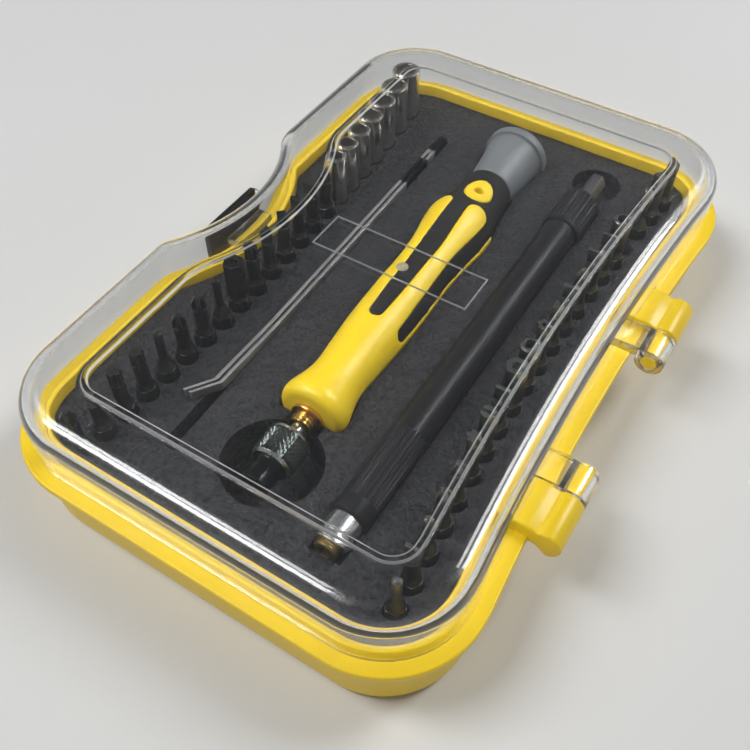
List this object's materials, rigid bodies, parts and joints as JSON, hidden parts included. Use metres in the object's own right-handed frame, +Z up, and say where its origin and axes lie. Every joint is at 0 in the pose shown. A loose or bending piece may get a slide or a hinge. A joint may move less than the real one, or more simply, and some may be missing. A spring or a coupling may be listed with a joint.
{
  "type": "precision screwdriver set",
  "caption": "Hinged case with a clear lid holding a driver with palm cap and chuck, an extension bar, tweezers, nut sockets and rows of driver bits.",
  "frame": {"origin": "middle of the case footprint on its bottom face", "axes": "+Z up out of the tray, +Y along the case towards the palm cap, +X towards the hinge side"},
  "size_m": [0.1068, 0.155, 0.0318],
  "materials": {
    "case_yellow": "satin moulded plastic",
    "tray_charcoal": "fine grain",
    "lid_clear": "clear polished",
    "latch_black": "satin",
    "handle_yellow": "satin",
    "grip_rubber": "matt",
    "cap_grey": "fine matt",
    "plain_steel": "turned",
    "brass": "turned",
    "chuck_black": "gloss black with bright edges",
    "tube_black": "satin black",
    "dark_steel": "dark oxide",
    "ring_chrome": "polished",
    "tweezer_steel": "brushed",
    "socket_nickel": "nickel",
    "bit_black": "black oxide",
    "bit_steel": "satin"
  },
  "bodies": {
    "case": {"base_tub": "case_yellow", "bit_tray": "tray_charcoal", "socket_1": "socket_nickel", "socket_2": "socket_nickel", "socket_3": "socket_nickel", "socket_4": "socket_nickel", "socket_5": "socket_nickel", "socket_6": "socket_nickel", "socket_7": "socket_nickel", "left_bit_01": "bit_black", "left_bit_02": "bit_black", "left_bit_03": "bit_black", "left_bit_04": "bit_black", "left_bit_05": "bit_black", "left_bit_06": "bit_black", "left_bit_07": "bit_black", "left_bit_08": "bit_black", "left_bit_09": "bit_black", "left_bit_10": "bit_black", "left_bit_11": "bit_black", "left_bit_12": "bit_black", "left_bit_13": "bit_black", "left_bit_14": "bit_black", "left_bit_15": "bit_black", "right_bit_01": "bit_steel", "right_bit_02": "bit_steel", "right_bit_03": "bit_steel", "right_bit_04": "bit_steel", "right_bit_05": "bit_steel", "right_bit_06": "bit_steel", "right_bit_07": "bit_steel", "right_bit_08": "bit_steel", "right_bit_09": "bit_steel", "right_bit_10": "bit_steel", "right_bit_11": "bit_steel", "right_bit_12": "bit_steel", "right_bit_13": "bit_steel", "right_bit_14": "bit_steel", "right_bit_15": "bit_steel", "right_bit_16": "bit_steel", "right_bit_17": "bit_steel", "right_bit_19": "bit_steel", "right_bit_20": "bit_steel", "right_bit_21": "bit_steel"},
    "lid": {"lid": "lid_clear"},
    "latch": {"latch": "latch_black"},
    "driver": {"handle_core": "handle_yellow", "handle_grip": "grip_rubber", "cap_pin": "plain_steel", "brass_collar": "brass", "drive_shaft": "plain_steel"},
    "palm_cap": {"swivel_cap": "cap_grey"},
    "chuck": {"chuck_sleeve": "chuck_black"},
    "extension": {"ext_tube": "tube_black", "ext_shank": "dark_steel", "ext_ring": "ring_chrome", "ext_tip": "brass"},
    "tweezers": {"tweezer_arm_a": "tweezer_steel"},
    "tweezer_spring_arm": {"tweezer_arm_b": "tweezer_steel"}
  },
  "joints": [
    {"name": "lid_hinge", "type": "hinge", "parent": "case", "child": "lid", "pos_m": [0.0528, -0.004, 0.017], "axis": [0, 1, 0], "range_deg": [0, 180]},
    {"name": "latch_pivot", "type": "hinge", "parent": "case", "child": "latch", "pos_m": [-0.0454, -0.0005, 0.0112], "axis": [0, -1, 0], "range_deg": [0, 70]},
    {"name": "driver_lift", "type": "slide", "parent": "case", "child": "driver", "axis": [0, 0, 1], "range_m": [0, 0.004]},
    {"name": "cap_swivel", "type": "hinge", "parent": "driver", "child": "palm_cap", "pos_m": [-0.00123, 0.04313, 0.017], "axis": [-0.0227, 0.9997, 0], "continuous": true},
    {"name": "chuck_turn", "type": "hinge", "parent": "driver", "child": "chuck", "pos_m": [0.00091, -0.0511, 0.017], "axis": [-0.0227, 0.9997, 0], "continuous": true},
    {"name": "extension_lift", "type": "slide", "parent": "case", "child": "extension", "axis": [0, 0, 1], "range_m": [0, 0.006]},
    {"name": "tweezers_lift", "type": "slide", "parent": "case", "child": "tweezers", "axis": [0, 0, 1], "range_m": [0, 0.009]},
    {"name": "tweezers_squeeze", "type": "hinge", "parent": "tweezers", "child": "tweezer_spring_arm", "pos_m": [-0.0208, 0.055, 0.0149], "axis": [0, 0, -1], "range_deg": [0, 0.25]}
  ]
}
